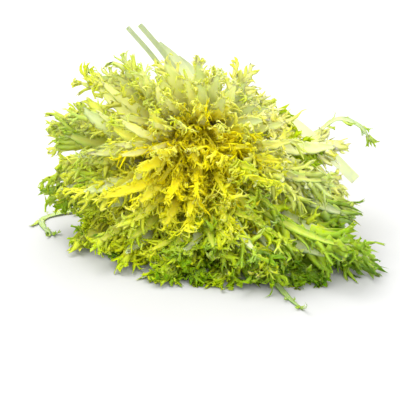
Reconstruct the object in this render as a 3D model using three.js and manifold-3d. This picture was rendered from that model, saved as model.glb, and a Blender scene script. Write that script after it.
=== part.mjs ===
// A curly endive (frisee) head lying on its side: a short cut stem, and the leaves that grow from it on a
// spiral. Each leaf is a closed solid of its own: a tapering midrib with narrow lobes cut to the rib.
// Millimetres, +Z up, standing on z = 0. The heart of the head faces -Y, a little to -X and upwards.
import * as THREE from "three";
import Module from "manifold-3d";

const wasm = await Module();
wasm.setup();

// ---- The head as a whole ----
const SEED = 7;
const LEAF_COUNT = 50;
const AGE_STEP = 0.85; // below 1 the outer leaves stand closer than the inner ones
const GOLDEN_ANGLE = 137.508;
const FIRST_AZIMUTH = 20; // of the innermost leaf, clockwise from straight up as seen from the front
const CROWN = new THREE.Vector3(-4, 72, 64); // the middle of the stem, where the leaves spring from
const HEAD_AXIS = new THREE.Vector3(-0.086, -0.981, 0.174).normalize(); // from the crown through the heart
const UP = new THREE.Vector3(0, 0, 1);
const DEGREES_AN_HOUR = 30; // hours are those of a clock that faces the front

// ---- The stem ----
const STEM = { bodyRadius: 17, cutRadius: 14, back: 24, front: 19, sides: 20, rings: 6 };
const STEM_GAP = 0.4; // between the stem and each leaf base
const OLDEST_SEAT = 130; // degrees from the stem's top, over its dome and down its neck, to the oldest leaf

// ---- The leaves, from the heart outwards ----
const HEART_LENGTH = 98;
// Length and opening of the outermost leaves at each hour of the clock, as seen from the front, from 12.
// The opening is the angle between a leaf's tip and the head's axis, in degrees.
const OUTER_LENGTH = [68, 62, 68, 116, 182, 180, 160, 142, 132, 126, 110, 82];
const OUTER_OPENING = [76, 76, 84, 90, 80, 54, 42, 50, 80, 78, 82, 86];
const HEART_OPENING = 20; // how far the innermost leaf opens, in degrees
const BASE_OPENING = 38; // how far the outermost leaf already leans at its base, in degrees
const DROOP = 0.16;
const GLIDE_ZONE = 30; // a leaf coming down starts to level out this far above where it rests
const REST_STEP = 66; // the innermost leaf's tip would rest this far above the outermost's, on the floor

const RIB_HALF_WIDTH = { inner: 2, outer: 4.6, tip: 1.1 };
const RIB_THICKNESS = { inner: 1.3, outer: 2.4, blade: 0.9 };
const RIB_STEPS = 48;
const FOOT_WIDTH = 0.5; // of the petiole's foot, as a share of its full width
const FOOT_END = 0.14;
const PETIOLE_STATIONS = 3;
const LAST_STATION = 0.95;
const LOBES = { inner: 5, outer: 8 }; // on each edge of a leaf
const LOBE_LENGTH = { inner: 14, outer: 30 };
const LOBE_THICKNESS = 0.7;
const LOBE_LEAN = { first: 62, last: 34, spread: 4 }; // from the rib's own way, in degrees
const LOBE_LIFT = { up: 24, down: -14, spread: 7 }; // towards the inner face, in turn, in degrees
const LOBE_BEND = { least: 10, most: 40, share: 0.7 }; // from a lobe's middle on, in degrees
const LOBE_REACH = { least: 0.85, most: 1.1 }; // a lobe's length, as a share of its neighbours'
const LOBE_WIDTH = 0.62; // as a share of the room between two stations
const LOBE_ARCH = { from: 0.16, span: 0.62, power: 0.8 }; // the lobes are longest past the leaf's middle
const FORKED_SHARE = 0.2;
const FORK = { notch: 0.35, halfWidth: 0.55 };
const TIP = { length: 0.55, width: 4, ahead: 0.9, up: 0.3 }; // the lobe at a leaf's end
const COURSE_MARKS = [0.3, 0.6, 0.9]; // where a lobe's course is looked at, on each half

// The oldest leaves sit lowest on the stem, each at its own hour, and follow routes of their own. Their
// inner faces look at the head's axis first, and then where facing says.
const FACING_TURNED = 0.4;
const LOWEST_SEAT = 154; // degrees, as OLDEST_SEAT
const LOOSE_THICKNESS = 1.6;
const LOOSE_FIRST_LOBE = 0.36;
const LOOSE_RUFFLE = 0.9;
const LOOSE_LEAVES = [
  {
    name: "loose_leaf_left", // along the floor, its tip curled forwards
    hour: 8.6,
    route: [[-52, 70, 30], [-94, 60, 5], [-125, 53, 1], [-139, 42, 0], [-136, 24, 0], [-127, 10, 0]],
    facing: [0, 0, 1], halfWidth: 3.4, tipHalfWidth: 1.4, lobes: 7, lobeLength: 13,
  },
  {
    name: "loose_leaf_front", // from under the stem along the floor, out in front of the others
    hour: 5.6,
    route: [[9, 78, 20], [16, 60, 2], [30, 16, 1], [46, -50, 1], [62, -98, 0], [73, -122, 0]],
    facing: [0, 0, 1], halfWidth: 4, tipHalfWidth: 1.6, lobes: 8, lobeLength: 14,
  },
  {
    name: "loose_leaf_right", // thin, held up in the air, its tip hanging over
    hour: 1.6,
    route: [[34, 92, 84], [62, 82, 76], [88, 66, 68], [112, 54, 88], [130, 46, 84], [138, 42, 73]],
    facing: [-0.3, -0.5, 0.8], halfWidth: 2, tipHalfWidth: 1.2, lobes: 5, lobeLength: 12,
  },
];

// Leaves that have lost their tips: pale, bare straps with blunt ends.
const STRAPS = [
  { hour: 10.4, halfWidth: 2.6, tipHalfWidth: 1.9, route: [[-24, 76, 104], [-42, 68, 136], [-64, 60, 166]] },
  { hour: 11, halfWidth: 2.8, tipHalfWidth: 2.2, route: [[-18, 82, 108], [-34, 74, 138], [-54, 64, 167]] },
  { hour: 11.7, halfWidth: 4.4, tipHalfWidth: 3.4, route: [[-10, 92, 102], [-22, 93, 124], [-40, 86, 143]] },
  { hour: 12.6, halfWidth: 4.2, tipHalfWidth: 3, route: [[0, 98, 98], [-10, 99, 114], [-24, 95, 128]] },
  {
    hour: 2.6, // bent over to the right
    halfWidth: 5.5,
    tipHalfWidth: 4.4,
    route: [[30, 80, 84], [66, 62, 86], [98, 46, 66], [126, 31, 42]],
  },
];
const STRAP_FACING = [-0.2, -0.8, 0.5];
const STRAP_STEPS = 7;

// ---- Seeds of the leaves' rules, of their lobes and of the loose leaves ----
const RULE_SEED = SEED * 1000;
const LOBE_SEED = RULE_SEED + 500;
const LOOSE_SEED = RULE_SEED + 900;

// ---- Colours ----
const STEM_COLOUR = [0.79, 0.77, 0.55];
const HEART_COLOUR = [0.72, 0.68, 0.08];
const OUTER_COLOUR = [0.36, 0.55, 0.06];
const STRAP_COLOUR = [0.7, 0.75, 0.39];

// ---- Small helpers ----
// A seeded generator, so that the head grows the same way each time.
function seeded(seed) {
  let state = seed >>> 0;
  return () => {
    state = (state + 0x6d2b79f5) >>> 0;
    let t = state;
    t = Math.imul(t ^ (t >>> 15), t | 1);
    t ^= t + Math.imul(t ^ (t >>> 7), t | 61);
    return ((t ^ (t >>> 14)) >>> 0) / 4294967296;
  };
}

const mix = (a, b, t) => a + (b - a) * t;
const radians = THREE.MathUtils.degToRad;
const smooth = (t) => t * t * (3 - 2 * t);
const scaled = (v, k) => v.clone().multiplyScalar(k);
const vector = (list) => new THREE.Vector3(...list);
const colour = (list) => new THREE.Color().setRGB(...list);

const AXIS_UP = UP.clone().addScaledVector(HEAD_AXIS, -UP.dot(HEAD_AXIS)).normalize();
const AXIS_RIGHT = new THREE.Vector3().crossVectors(AXIS_UP, HEAD_AXIS).normalize();

// A value from a table of twelve, one for each hour, eased from one hour to the next.
function byHour(table, azimuth) {
  const hours = (((azimuth / (2 * Math.PI)) % 1) + 1) * 12;
  const hour = Math.floor(hours);
  return mix(table[hour % 12], table[(hour + 1) % 12], smooth(hours - hour));
}

// ---- The course of each leaf ----
// What sets leaf k apart: its place on the spiral, its length and how far it opens.
function leafRule(k) {
  const random = seeded(RULE_SEED + k);
  const age = ((k + 0.5) / LEAF_COUNT) ** AGE_STEP; // 0 in the heart, 1 outside
  const azimuth = radians(FIRST_AZIMUTH + k * GOLDEN_ANGLE);
  const widest = radians(byHour(OUTER_OPENING, azimuth));
  const opening = mix(radians(HEART_OPENING), widest, age);
  const ring = ["heart", "inner", "middle", "outer"][Math.floor(age * 4)];
  return {
    name: `${ring}_leaf_${String(k + 1).padStart(2, "0")}`,
    age,
    azimuth,
    outward: outwardAt(azimuth),
    seat: radians(OLDEST_SEAT) * Math.sqrt(age),
    length: mix(HEART_LENGTH, byHour(OUTER_LENGTH, azimuth), age ** 0.8) * mix(0.94, 1.06, random()),
    baseOpening: radians(BASE_OPENING) * age,
    tipOpening: opening + radians(mix(-1.5, 1.5, random())),
    turnsOut: mix(3, 1, age), // the higher this is, the nearer its tip a leaf turns outward
    swirl: mix(-0.2, 0.2, random()) * age,
    twist: radians(mix(-18, 18, random())),
    rest: REST_STEP * (1 - age) ** 1.2,
    halfWidth: mix(RIB_HALF_WIDTH.inner, RIB_HALF_WIDTH.outer, age),
    tipHalfWidth: RIB_HALF_WIDTH.tip,
    thickness: mix(RIB_THICKNESS.inner, RIB_THICKNESS.outer, age),
    firstLobe: mix(0.3, 0.4, age),
    lobes: Math.round(mix(LOBES.inner, LOBES.outer, age)),
    lobeLength: mix(LOBE_LENGTH.inner, LOBE_LENGTH.outer, age ** 0.8),
    ruffle: mix(0.75, 1.1, random()),
    seed: LOBE_SEED + k,
  };
}

// One point of a midrib, with the way it runs, the way its inner face looks, and the way across it.
function ribPoint(point, direction, facing, floor) {
  const face = facing.clone().addScaledVector(direction, -facing.dot(direction)).normalize();
  return { point, direction, face, floor, across: new THREE.Vector3().crossVectors(direction, face) };
}

// The stem's surface at an angle from its top: over the dome, then straight down the neck. Rise and lean are
// its normal, along the head's axis and away from it.
function stemSurface(angle) {
  const quarter = Math.PI / 2;
  if (angle > quarter) {
    const height = -STEM.bodyRadius * (angle - quarter);
    return { height, radius: neckRadius(height), rise: 0, lean: 1 };
  }
  const along = Math.cos(angle);
  const away = Math.sin(angle);
  const normal = new THREE.Vector2(along / STEM.front, away / STEM.bodyRadius).normalize();
  return { height: STEM.front * along, radius: STEM.bodyRadius * away, rise: normal.x, lean: normal.y };
}

function neckRadius(height) {
  return mix(STEM.bodyRadius, STEM.cutRadius, smooth(-height / STEM.back));
}

// Where a leaf's midrib begins: on the stem's surface, with room for its own thickness.
function footOf(leaf) {
  const { height, radius, rise, lean } = stemSurface(leaf.seat);
  const raised = STEM_GAP + leaf.thickness / 2;
  return CROWN.clone()
    .addScaledVector(HEAD_AXIS, height + rise * raised)
    .addScaledVector(leaf.outward, radius + lean * raised);
}

// Straight away from the head's axis, at an angle clockwise from straight up.
function outwardAt(azimuth) {
  return scaled(AXIS_UP, Math.cos(azimuth)).addScaledVector(AXIS_RIGHT, Math.sin(azimuth));
}

// The midrib of a leaf on the spiral, at even steps from its seat on the stem to its tip. It leans out more
// and more, droops a little, and levels out above the place where it comes to rest.
function spiralRib(leaf) {
  const { outward } = leaf;
  const aside = new THREE.Vector3().crossVectors(HEAD_AXIS, outward);
  const point = footOf(leaf);
  const rib = [];
  for (let i = 0; i <= RIB_STEPS; i++) {
    const s = i / RIB_STEPS;
    const open = mix(leaf.baseOpening, leaf.tipOpening, smooth(s) ** leaf.turnsOut);
    const direction = scaled(HEAD_AXIS, Math.cos(open))
      .addScaledVector(outward, Math.sin(open))
      .addScaledVector(aside, leaf.swirl * s * s)
      .addScaledVector(UP, -DROOP * leaf.age * s * s)
      .normalize();
    const clearance = THREE.MathUtils.clamp((point.z - leaf.rest * s) / GLIDE_ZONE, 0, 1);
    if (direction.z < 0) direction.setZ(direction.z * clearance).normalize();
    const facing = scaled(HEAD_AXIS, Math.sin(open)).addScaledVector(outward, -Math.cos(open));
    facing.applyAxisAngle(direction, leaf.twist * s);
    rib.push(ribPoint(point.clone(), direction, facing, leaf.rest * s));
    point.addScaledVector(direction, leaf.length / RIB_STEPS);
  }
  return rib;
}

function courseOf(leaf) {
  return new THREE.CatmullRomCurve3([footOf(leaf), ...leaf.route.map(vector)], false, "centripetal");
}

// The midrib of a leaf that follows a route of its own.
function routedRib(leaf) {
  const curve = courseOf(leaf);
  const facing = vector(leaf.facing);
  return curve.getSpacedPoints(RIB_STEPS).map((point, i) => {
    const s = i / RIB_STEPS;
    const turned = scaled(leaf.outward, -1).lerp(facing, smooth(Math.min(1, s / FACING_TURNED)));
    return ribPoint(point, curve.getTangentAt(s), turned, 0);
  });
}

// ---- From a thin sheet to a closed solid ----
// The sheet's triangles turn anticlockwise as seen from the leaf's inner face.
class Sheet {
  constructor() {
    this.points = [];
    this.thickness = [];
    this.floors = [];
    this.triangles = [];
  }

  vertex(point, thickness, floor) {
    this.points.push(point.clone());
    this.thickness.push(thickness);
    this.floors.push(floor);
    return this.points.length - 1;
  }

  triangle(a, b, c) {
    this.triangles.push([a, b, c]);
  }

  quad(a, b, c, d) {
    this.triangle(a, b, c);
    this.triangle(a, c, d);
  }

  normals() {
    const normals = this.points.map(() => new THREE.Vector3());
    for (const [a, b, c] of this.triangles) {
      const ab = this.points[b].clone().sub(this.points[a]);
      const ac = this.points[c].clone().sub(this.points[a]);
      const area = ab.cross(ac);
      for (const v of [a, b, c]) normals[v].add(area);
    }
    return normals.map((n) => n.normalize());
  }

  // What would go below the height where the leaf rests lies flat there instead. The margin thickens it.
  geometry(margin = 0) {
    const normals = this.normals();
    const count = this.points.length;
    const position = new Float32Array(count * 6);
    this.points.forEach((point, v) => {
      const half = this.thickness[v] / 2;
      const lies = point.z < this.floors[v] + half;
      const middle = lies ? point.clone().setZ(this.floors[v] + half) : point;
      const normal = lies ? scaled(UP, Math.sign(normals[v].z) || 1) : normals[v];
      middle.clone().addScaledVector(normal, half + margin).toArray(position, v * 3);
      middle.clone().addScaledVector(normal, -half - margin).toArray(position, (count + v) * 3);
    });
    const geometry = new THREE.BufferGeometry();
    geometry.setAttribute("position", new THREE.BufferAttribute(position, 3));
    geometry.setIndex(this.closedIndex(count));
    return geometry;
  }

  // The two faces, and a wall along each edge that only one triangle has.
  closedIndex(count) {
    const sides = ([a, b, c]) => [[a, b], [b, c], [c, a]];
    const used = new Set(this.triangles.flatMap((t) => sides(t).map(String)));
    const index = [];
    for (const t of this.triangles) {
      const [a, b, c] = t;
      index.push(a, b, c, count + a, count + c, count + b);
      for (const [p, q] of sides(t)) {
        if (!used.has(String([q, p]))) index.push(count + p, count + q, q, count + p, q, p);
      }
    }
    return index;
  }
}

// One lobe, grown from the sheet's edge (from, to): it narrows to one tip, or forks into two. It gives back
// points along its course.
function addLobe(sheet, from, to, lobe) {
  const root = sheet.points[from].clone().lerp(sheet.points[to], 0.5);
  const side = sheet.points[to].clone().sub(sheet.points[from]).normalize();
  side.addScaledVector(lobe.direction, -side.dot(lobe.direction)).normalize();
  const middle = root.clone().addScaledVector(lobe.direction, lobe.length / 2);
  const end = middle.clone().addScaledVector(lobe.curl, lobe.length / 2);
  const offset = (point, k) => {
    return sheet.vertex(point.clone().addScaledVector(side, k), LOBE_THICKNESS, sheet.floors[from]);
  };
  const nearFrom = offset(middle, -lobe.width / 2);
  const nearTo = offset(middle, lobe.width / 2);
  sheet.quad(from, to, nearTo, nearFrom);
  if (lobe.forked) {
    const notch = offset(middle.clone().lerp(end, FORK.notch), 0);
    sheet.triangle(nearFrom, nearTo, notch);
    sheet.triangle(nearFrom, notch, offset(end, -lobe.width * FORK.halfWidth));
    sheet.triangle(notch, nearTo, offset(end, lobe.width * FORK.halfWidth));
  } else {
    sheet.triangle(nearFrom, nearTo, offset(end, 0));
  }
  return COURSE_MARKS.flatMap((t) => [root.clone().lerp(middle, t), middle.clone().lerp(end, t)]);
}

// The rib's own strip: a pair of vertices at each station, one on each edge.
function addRib(sheet, leaf, rib, stations) {
  const edges = stations.map((s) => {
    const at = rib[Math.round(s * RIB_STEPS)];
    const foot = mix(FOOT_WIDTH, 1, smooth(Math.min(1, s / FOOT_END)));
    const half = mix(leaf.halfWidth, leaf.tipHalfWidth, s ** 0.7) * foot;
    const thickness = Math.max(RIB_THICKNESS.blade, mix(leaf.thickness, RIB_THICKNESS.blade, s * 1.6));
    const left = sheet.vertex(at.point.clone().addScaledVector(at.across, -half), thickness, at.floor);
    const right = sheet.vertex(at.point.clone().addScaledVector(at.across, half), thickness, at.floor);
    return { at, left, right };
  });
  for (let i = 0; i + 1 < edges.length; i++) {
    sheet.quad(edges[i].right, edges[i + 1].right, edges[i + 1].left, edges[i].left);
  }
  return edges;
}

// The course of one lobe: it leans towards the leaf's tip, lifts or sinks in turn, and curls at its end.
function lobeRule(leaf, at, side, t, lifted, random) {
  const around = (spread) => mix(-spread, spread, random());
  const lean = radians(mix(LOBE_LEAN.first, LOBE_LEAN.last, t) + around(LOBE_LEAN.spread));
  const lift = radians(leaf.ruffle * (lifted ? LOBE_LIFT.up : LOBE_LIFT.down) + around(LOBE_LIFT.spread));
  const bend = radians(mix(LOBE_BEND.least, LOBE_BEND.most, random()));
  const flat = scaled(at.direction, Math.cos(lean)).addScaledVector(at.across, side * Math.sin(lean));
  const direction = scaled(flat, Math.cos(lift)).addScaledVector(at.face, Math.sin(lift));
  const curl = scaled(direction, Math.cos(bend))
    .addScaledVector(at.direction, Math.sin(bend) * LOBE_BEND.share)
    .addScaledVector(at.face, Math.sin(bend) * around(LOBE_BEND.share))
    .normalize();
  const envelope = Math.sin(Math.PI * (LOBE_ARCH.from + LOBE_ARCH.span * t)) ** LOBE_ARCH.power;
  const room = (leaf.length * (LAST_STATION - leaf.firstLobe)) / leaf.lobes;
  return {
    direction,
    curl,
    length: leaf.lobeLength * envelope * mix(LOBE_REACH.least, LOBE_REACH.most, random()),
    width: room * Math.sin(lean) * LOBE_WIDTH,
    forked: random() < FORKED_SHARE,
  };
}

// A whole leaf: the bare petiole, lobes on both edges of the rib, and one lobe at its tip. Each lobe is as
// long as its share in reaches says.
function leafSheet(leaf, reaches) {
  const random = seeded(leaf.seed);
  const sheet = new Sheet();
  const rib = leaf.route ? routedRib(leaf) : spiralRib(leaf);
  const stations = [];
  for (let i = 0; i < PETIOLE_STATIONS; i++) stations.push((leaf.firstLobe * i) / PETIOLE_STATIONS);
  for (let i = 0; i <= leaf.lobes; i++) stations.push(mix(leaf.firstLobe, LAST_STATION, i / leaf.lobes));
  const edges = addRib(sheet, leaf, rib, stations);
  const lobes = [];
  for (let j = 0; j < leaf.lobes; j++) {
    const near = edges[PETIOLE_STATIONS + j];
    const far = edges[PETIOLE_STATIONS + j + 1];
    for (const side of [-1, 1]) {
      const lobe = lobeRule(leaf, near.at, side, (j + 0.5) / leaf.lobes, (j + (side > 0)) % 2, random);
      lobe.length *= reaches[lobes.length];
      const [from, to] = side < 0 ? [near.left, far.left] : [far.right, near.right];
      lobes.push(addLobe(sheet, from, to, lobe));
    }
  }
  const { at, left, right } = edges.at(-1);
  const curl = scaled(at.direction, TIP.ahead).addScaledVector(at.face, TIP.up).normalize();
  const length = leaf.lobeLength * TIP.length;
  const tip = { direction: at.direction, curl, length, width: TIP.width, forked: true };
  addLobe(sheet, left, right, tip);
  return { sheet, lobes };
}

// A strap: only the rib, cut off blunt.
function strapSheet(leaf) {
  const sheet = new Sheet();
  const stations = Array.from({ length: STRAP_STEPS + 1 }, (_, i) => i / STRAP_STEPS);
  addRib(sheet, leaf, routedRib(leaf), stations);
  return { sheet, lobes: [] };
}

// ---- Fitting the leaves among each other ----
const MOST_ROUNDS = 24;
const DRAW_BACK = 0.8;
const NEAR = 2; // a lobe this close to where two leaves cross is drawn back
const HALF_GAP = 0.12; // what each leaf keeps clear of round itself

function solidOf(geometry) {
  const vertProperties = geometry.getAttribute("position").array;
  const triVerts = new Uint32Array(geometry.index.array);
  return new wasm.Manifold(new wasm.Mesh({ numProp: 3, vertProperties, triVerts }));
}

function boxOf(solid) {
  const { min, max } = solid.boundingBox();
  return new THREE.Box3(vector(min), vector(max));
}

function growLeaf(leaf) {
  const { sheet, lobes } = leaf.lobes ? leafSheet(leaf, leaf.reaches) : strapSheet(leaf);
  leaf.sheet = sheet;
  leaf.lobeCourses = lobes;
  leaf.solid = solidOf(sheet.geometry(HALF_GAP));
  leaf.box = boxOf(leaf.solid);
}

// Every place where two leaves cross: the two, and a box round it.
function crossings(leaves) {
  const found = [];
  leaves.forEach((one, i) => {
    for (const other of leaves.slice(0, i)) {
      if (!one.box.intersectsBox(other.box)) continue;
      for (const shared of one.solid.intersect(other.solid).decompose()) {
        found.push({ pair: [one, other], box: boxOf(shared).expandByScalar(NEAR) });
      }
    }
  });
  return found;
}

// Grows all the leaves, and draws back each lobe that crosses another leaf until all are clear.
function growClear(leaves) {
  for (const leaf of leaves) leaf.reaches = new Array(2 * leaf.lobes).fill(1);
  leaves.forEach(growLeaf);
  for (let round = 0; round < MOST_ROUNDS; round++) {
    const touched = new Set();
    for (const { pair, box } of crossings(leaves)) {
      for (const leaf of pair) {
        leaf.lobeCourses.forEach((course, i) => {
          if (course.some((point) => box.containsPoint(point))) touched.add(`${leaves.indexOf(leaf)} ${i}`);
        });
      }
    }
    for (const key of touched) {
      const [leaf, lobe] = key.split(" ").map(Number);
      leaves[leaf].reaches[lobe] *= DRAW_BACK;
    }
    new Set([...touched].map((key) => leaves[parseInt(key)])).forEach(growLeaf);
    if (!touched.size) break;
  }
}

// ---- The pieces ----
// The stem: the neck with its flat cut, and the dome that the leaves sit on.
function stemGeometry() {
  const profile = [new THREE.Vector2(0, -STEM.back)];
  for (let i = 0; i <= STEM.rings; i++) {
    const height = mix(-STEM.back, 0, i / STEM.rings);
    profile.push(new THREE.Vector2(neckRadius(height), height));
  }
  for (let i = 1; i < STEM.rings; i++) {
    const { radius, height } = stemSurface((Math.PI / 2) * (1 - i / STEM.rings));
    profile.push(new THREE.Vector2(radius, height));
  }
  profile.push(new THREE.Vector2(0, STEM.front));
  const geometry = new THREE.LatheGeometry(profile, STEM.sides);
  geometry.applyQuaternion(new THREE.Quaternion().setFromUnitVectors(new THREE.Vector3(0, 1, 0), HEAD_AXIS));
  geometry.translate(...CROWN.toArray());
  return geometry;
}

function stemMaterial() {
  return new THREE.MeshStandardMaterial({ color: colour(STEM_COLOUR), roughness: 0.6, metalness: 0 });
}

// Yellow in the heart, green outside.
function leafMaterial(age) {
  const color = colour(HEART_COLOUR).lerp(colour(OUTER_COLOUR), age);
  return new THREE.MeshStandardMaterial({ color, roughness: 0.5, metalness: 0 });
}

function strapMaterial() {
  return new THREE.MeshStandardMaterial({ color: colour(STRAP_COLOUR), roughness: 0.5, metalness: 0 });
}

function routedLeaf(shape, more) {
  const outward = outwardAt(radians(shape.hour * DEGREES_AN_HOUR));
  return { ...shape, ...more, age: 1, seat: radians(LOWEST_SEAT), outward, thickness: LOOSE_THICKNESS };
}

function looseLeaf(shape, index) {
  const seed = LOOSE_SEED + index;
  const leaf = routedLeaf(shape, { seed, firstLobe: LOOSE_FIRST_LOBE, ruffle: LOOSE_RUFFLE });
  return { ...leaf, length: courseOf(leaf).getLength() };
}

function strap(shape, index) {
  const name = `trimmed_leaf_${index + 1}`;
  return routedLeaf(shape, { name, facing: STRAP_FACING, lobes: 0, strap: true });
}

const head = new THREE.Group();
const stem = new THREE.Mesh(stemGeometry(), stemMaterial());
stem.name = "stem";
head.add(stem);

const spiralLeaves = Array.from({ length: LEAF_COUNT }, (_, k) => leafRule(k));
const leaves = [...spiralLeaves, ...LOOSE_LEAVES.map(looseLeaf), ...STRAPS.map(strap)];
growClear(leaves);
for (const leaf of leaves) {
  const material = leaf.strap ? strapMaterial() : leafMaterial(leaf.age);
  const piece = new THREE.Mesh(leaf.sheet.geometry(), material);
  piece.name = leaf.name;
  head.add(piece);
}

// The head stands on z = 0, with the middle of its box over the origin.
const box = new THREE.Box3().setFromObject(head);
const middle = box.getCenter(new THREE.Vector3());
head.position.set(-middle.x, -middle.y, -box.min.z);

export default head;
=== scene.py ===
"""The looks of a curly endive head lying on its side: each leaf is grown again round the midrib of its CAD
solid, with a channelled petiole and forked, curled lobes, and finer leaves fill the space between them."""

import math

import bpy
import numpy as np
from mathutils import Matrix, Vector


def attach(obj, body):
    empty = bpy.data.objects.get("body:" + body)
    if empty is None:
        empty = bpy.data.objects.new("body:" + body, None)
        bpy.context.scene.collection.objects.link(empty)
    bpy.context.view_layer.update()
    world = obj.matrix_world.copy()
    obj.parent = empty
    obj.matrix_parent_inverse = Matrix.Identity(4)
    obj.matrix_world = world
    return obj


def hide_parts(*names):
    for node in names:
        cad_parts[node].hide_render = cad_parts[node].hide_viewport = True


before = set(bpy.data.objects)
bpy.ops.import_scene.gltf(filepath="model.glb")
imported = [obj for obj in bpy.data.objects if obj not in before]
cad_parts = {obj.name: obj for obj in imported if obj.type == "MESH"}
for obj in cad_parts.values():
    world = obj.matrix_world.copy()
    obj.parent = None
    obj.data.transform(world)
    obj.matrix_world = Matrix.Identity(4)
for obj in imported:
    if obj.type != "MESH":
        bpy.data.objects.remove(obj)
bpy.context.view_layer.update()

# ---- The head as a whole, in millimetres and degrees, as in the part's own source ----
SEED = 7
RULE_SEED = SEED * 1000
LEAF_COUNT = 50
AGE_STEP = 0.85  # the power that turns a leaf's place on the spiral into its age, from 0 to 1
GOLDEN_ANGLE = 137.508
FIRST_AZIMUTH = 20
HOURS = 12
DEGREES_AN_HOUR = 30
SHIFT = np.array([5.393, 10.2, 0.0])  # from the source's own place to the frame
CROWN = np.array([-4.0, 72.0, 64.0])  # the middle of the stem's dome
UP = np.array([0.0, 0.0, 1.0])
HEAD_AXIS = np.array([-0.086, -0.981, 0.174])
HEAD_AXIS /= np.linalg.norm(HEAD_AXIS)
AXIS_UP = UP - UP.dot(HEAD_AXIS) * HEAD_AXIS
AXIS_UP /= np.linalg.norm(AXIS_UP)
AXIS_RIGHT = np.cross(AXIS_UP, HEAD_AXIS)
STEM = {"body_radius": 17, "cut_radius": 14, "back": 24, "front": 19}
STEM_GAP = 0.4
RINGS = ["heart", "inner", "middle", "outer"]

# ---- The course of the spiral's leaves; tables go by the hour of the clock, from 12, seen from in front ----
HEART_LENGTH = 98
OUTER_LENGTH = [68, 62, 68, 116, 182, 180, 160, 142, 132, 126, 110, 82]
OUTER_OPENING = [76, 76, 84, 90, 80, 54, 42, 50, 80, 78, 82, 86]
HEART_OPENING = 20
BASE_OPENING = 38
OLDEST_SEAT = 130  # degrees from the head's axis to the foot, as LOWEST_SEAT
LOWEST_SEAT = 154
DROOP = 0.16
GLIDE_ZONE = 30  # the height over which a leaf stops falling
REST_STEP = 66  # how far above the surface the youngest leaf stays
REST_FALL = 1.2
SIZE_GROWTH = 0.8  # the power of its age by which a leaf grows
LENGTH_SPREAD = (0.94, 1.06)
OPENING_SPREAD = (-1.5, 1.5)
SWIRL_SPREAD = (-0.2, 0.2)
TWIST_SPREAD = (-18, 18)
RUFFLE_SPREAD = (0.75, 1.1)
# From the youngest leaf to the oldest.
TURNS_OUT = (3, 1)
HALF_WIDTH = (2, 4.6)
THICKNESS = (1.3, 2.4)
FIRST_LOBE = (0.3, 0.4)
LOBE_LENGTH = (14, 30)
TIP_HALF_WIDTH = 1.1

# ---- Leaves that follow a route of their own ----
LOOSE_LEAVES = [
    {
        "name": "loose_leaf_left",  # along the surface, its tip curled forwards
        "hour": 8.6,
        "route": [[-52, 70, 30], [-94, 60, 5], [-125, 53, 1], [-139, 42, 0], [-136, 24, 0], [-127, 10, 0]],
        "facing": [0, 0, 1], "half": 3.4, "tip_half": 1.4, "lobe_length": 13,
    },
    {
        "name": "loose_leaf_front",  # from under the stem along the surface, out in front of the others
        "hour": 5.6,
        "route": [[9, 78, 20], [16, 60, 2], [30, 16, 1], [46, -50, 1], [62, -98, 0], [73, -122, 0]],
        "facing": [0, 0, 1], "half": 4, "tip_half": 1.6, "lobe_length": 14,
    },
    {
        "name": "loose_leaf_right",  # thin, held up in the air, its tip hanging over
        "hour": 1.6,
        "route": [[34, 92, 84], [62, 82, 76], [88, 66, 68], [112, 54, 88], [130, 46, 84], [138, 42, 73]],
        "facing": [-0.3, -0.5, 0.8], "half": 2, "tip_half": 1.2, "lobe_length": 12,
    },
]
# Leaves that have lost their tips: pale, bare straps with blunt ends. "strap" says how pale each is.
STRAPS = [
    {"hour": 10.4, "half": 2.6, "tip_half": 1.9, "strap": 0.85,
     "route": [[-24, 76, 104], [-42, 68, 136], [-64, 60, 166]]},
    {"hour": 11, "half": 2.8, "tip_half": 2.2, "strap": 0.85,
     "route": [[-18, 82, 108], [-34, 74, 138], [-54, 64, 167]]},
    {"hour": 11.7, "half": 4.4, "tip_half": 3.4, "strap": 0.92,
     "route": [[-10, 92, 102], [-22, 93, 124], [-40, 86, 143]]},
    {"hour": 12.6, "half": 4.2, "tip_half": 3, "strap": 0.95,
     "route": [[0, 98, 98], [-10, 99, 114], [-24, 95, 128]]},
    {"hour": 2.6, "half": 5.5, "tip_half": 4.4, "strap": 0.9,  # bent over to the right
     "route": [[30, 80, 84], [66, 62, 86], [98, 46, 66], [126, 31, 42]]},
]
STRAP_FACING = [-0.2, -0.8, 0.5]
LOOSE_THICKNESS = 1.6
LOOSE_FIRST_LOBE = 0.36
LOOSE_RUFFLE = 0.9
SEEDS_AN_HOUR = 10
FACING_TURNED = 0.4  # how far up a leaf has turned to its own facing
RIB_STEPS = 48
CURVE_STEPS = 60
CENTRIPETAL = 0.5

MM = 0.001
TINY = 1e-9


def seeded(seed):
    """The source's own generator, so that each leaf here follows its solid."""
    state = seed & 0xFFFFFFFF

    def draw():
        nonlocal state
        state = (state + 0x6D2B79F5) & 0xFFFFFFFF
        t = state
        t = ((t ^ (t >> 15)) * (t | 1)) & 0xFFFFFFFF
        t ^= (t + ((t ^ (t >> 7)) * (t | 61))) & 0xFFFFFFFF
        return (t ^ (t >> 14)) / 4294967296

    return draw


def mix(a, b, t):
    return a + (b - a) * t


def gain(pair, t):
    """The least value, with as much of the second one added as t says."""
    return pair[0] + pair[1] * t


def smooth(t):
    return t * t * (3 - 2 * t)


def unit(v):
    return v / np.maximum(np.linalg.norm(v, axis=-1, keepdims=True), TINY)


def hour_of(azimuth):
    return ((azimuth / (2 * math.pi)) % 1) * HOURS


def by_hour(table, azimuth):
    hours = hour_of(azimuth)
    hour = int(hours)
    return mix(table[hour % HOURS], table[(hour + 1) % HOURS], smooth(hours - hour))


def outward_at(azimuth):
    return AXIS_UP * math.cos(azimuth) + AXIS_RIGHT * math.sin(azimuth)


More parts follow.
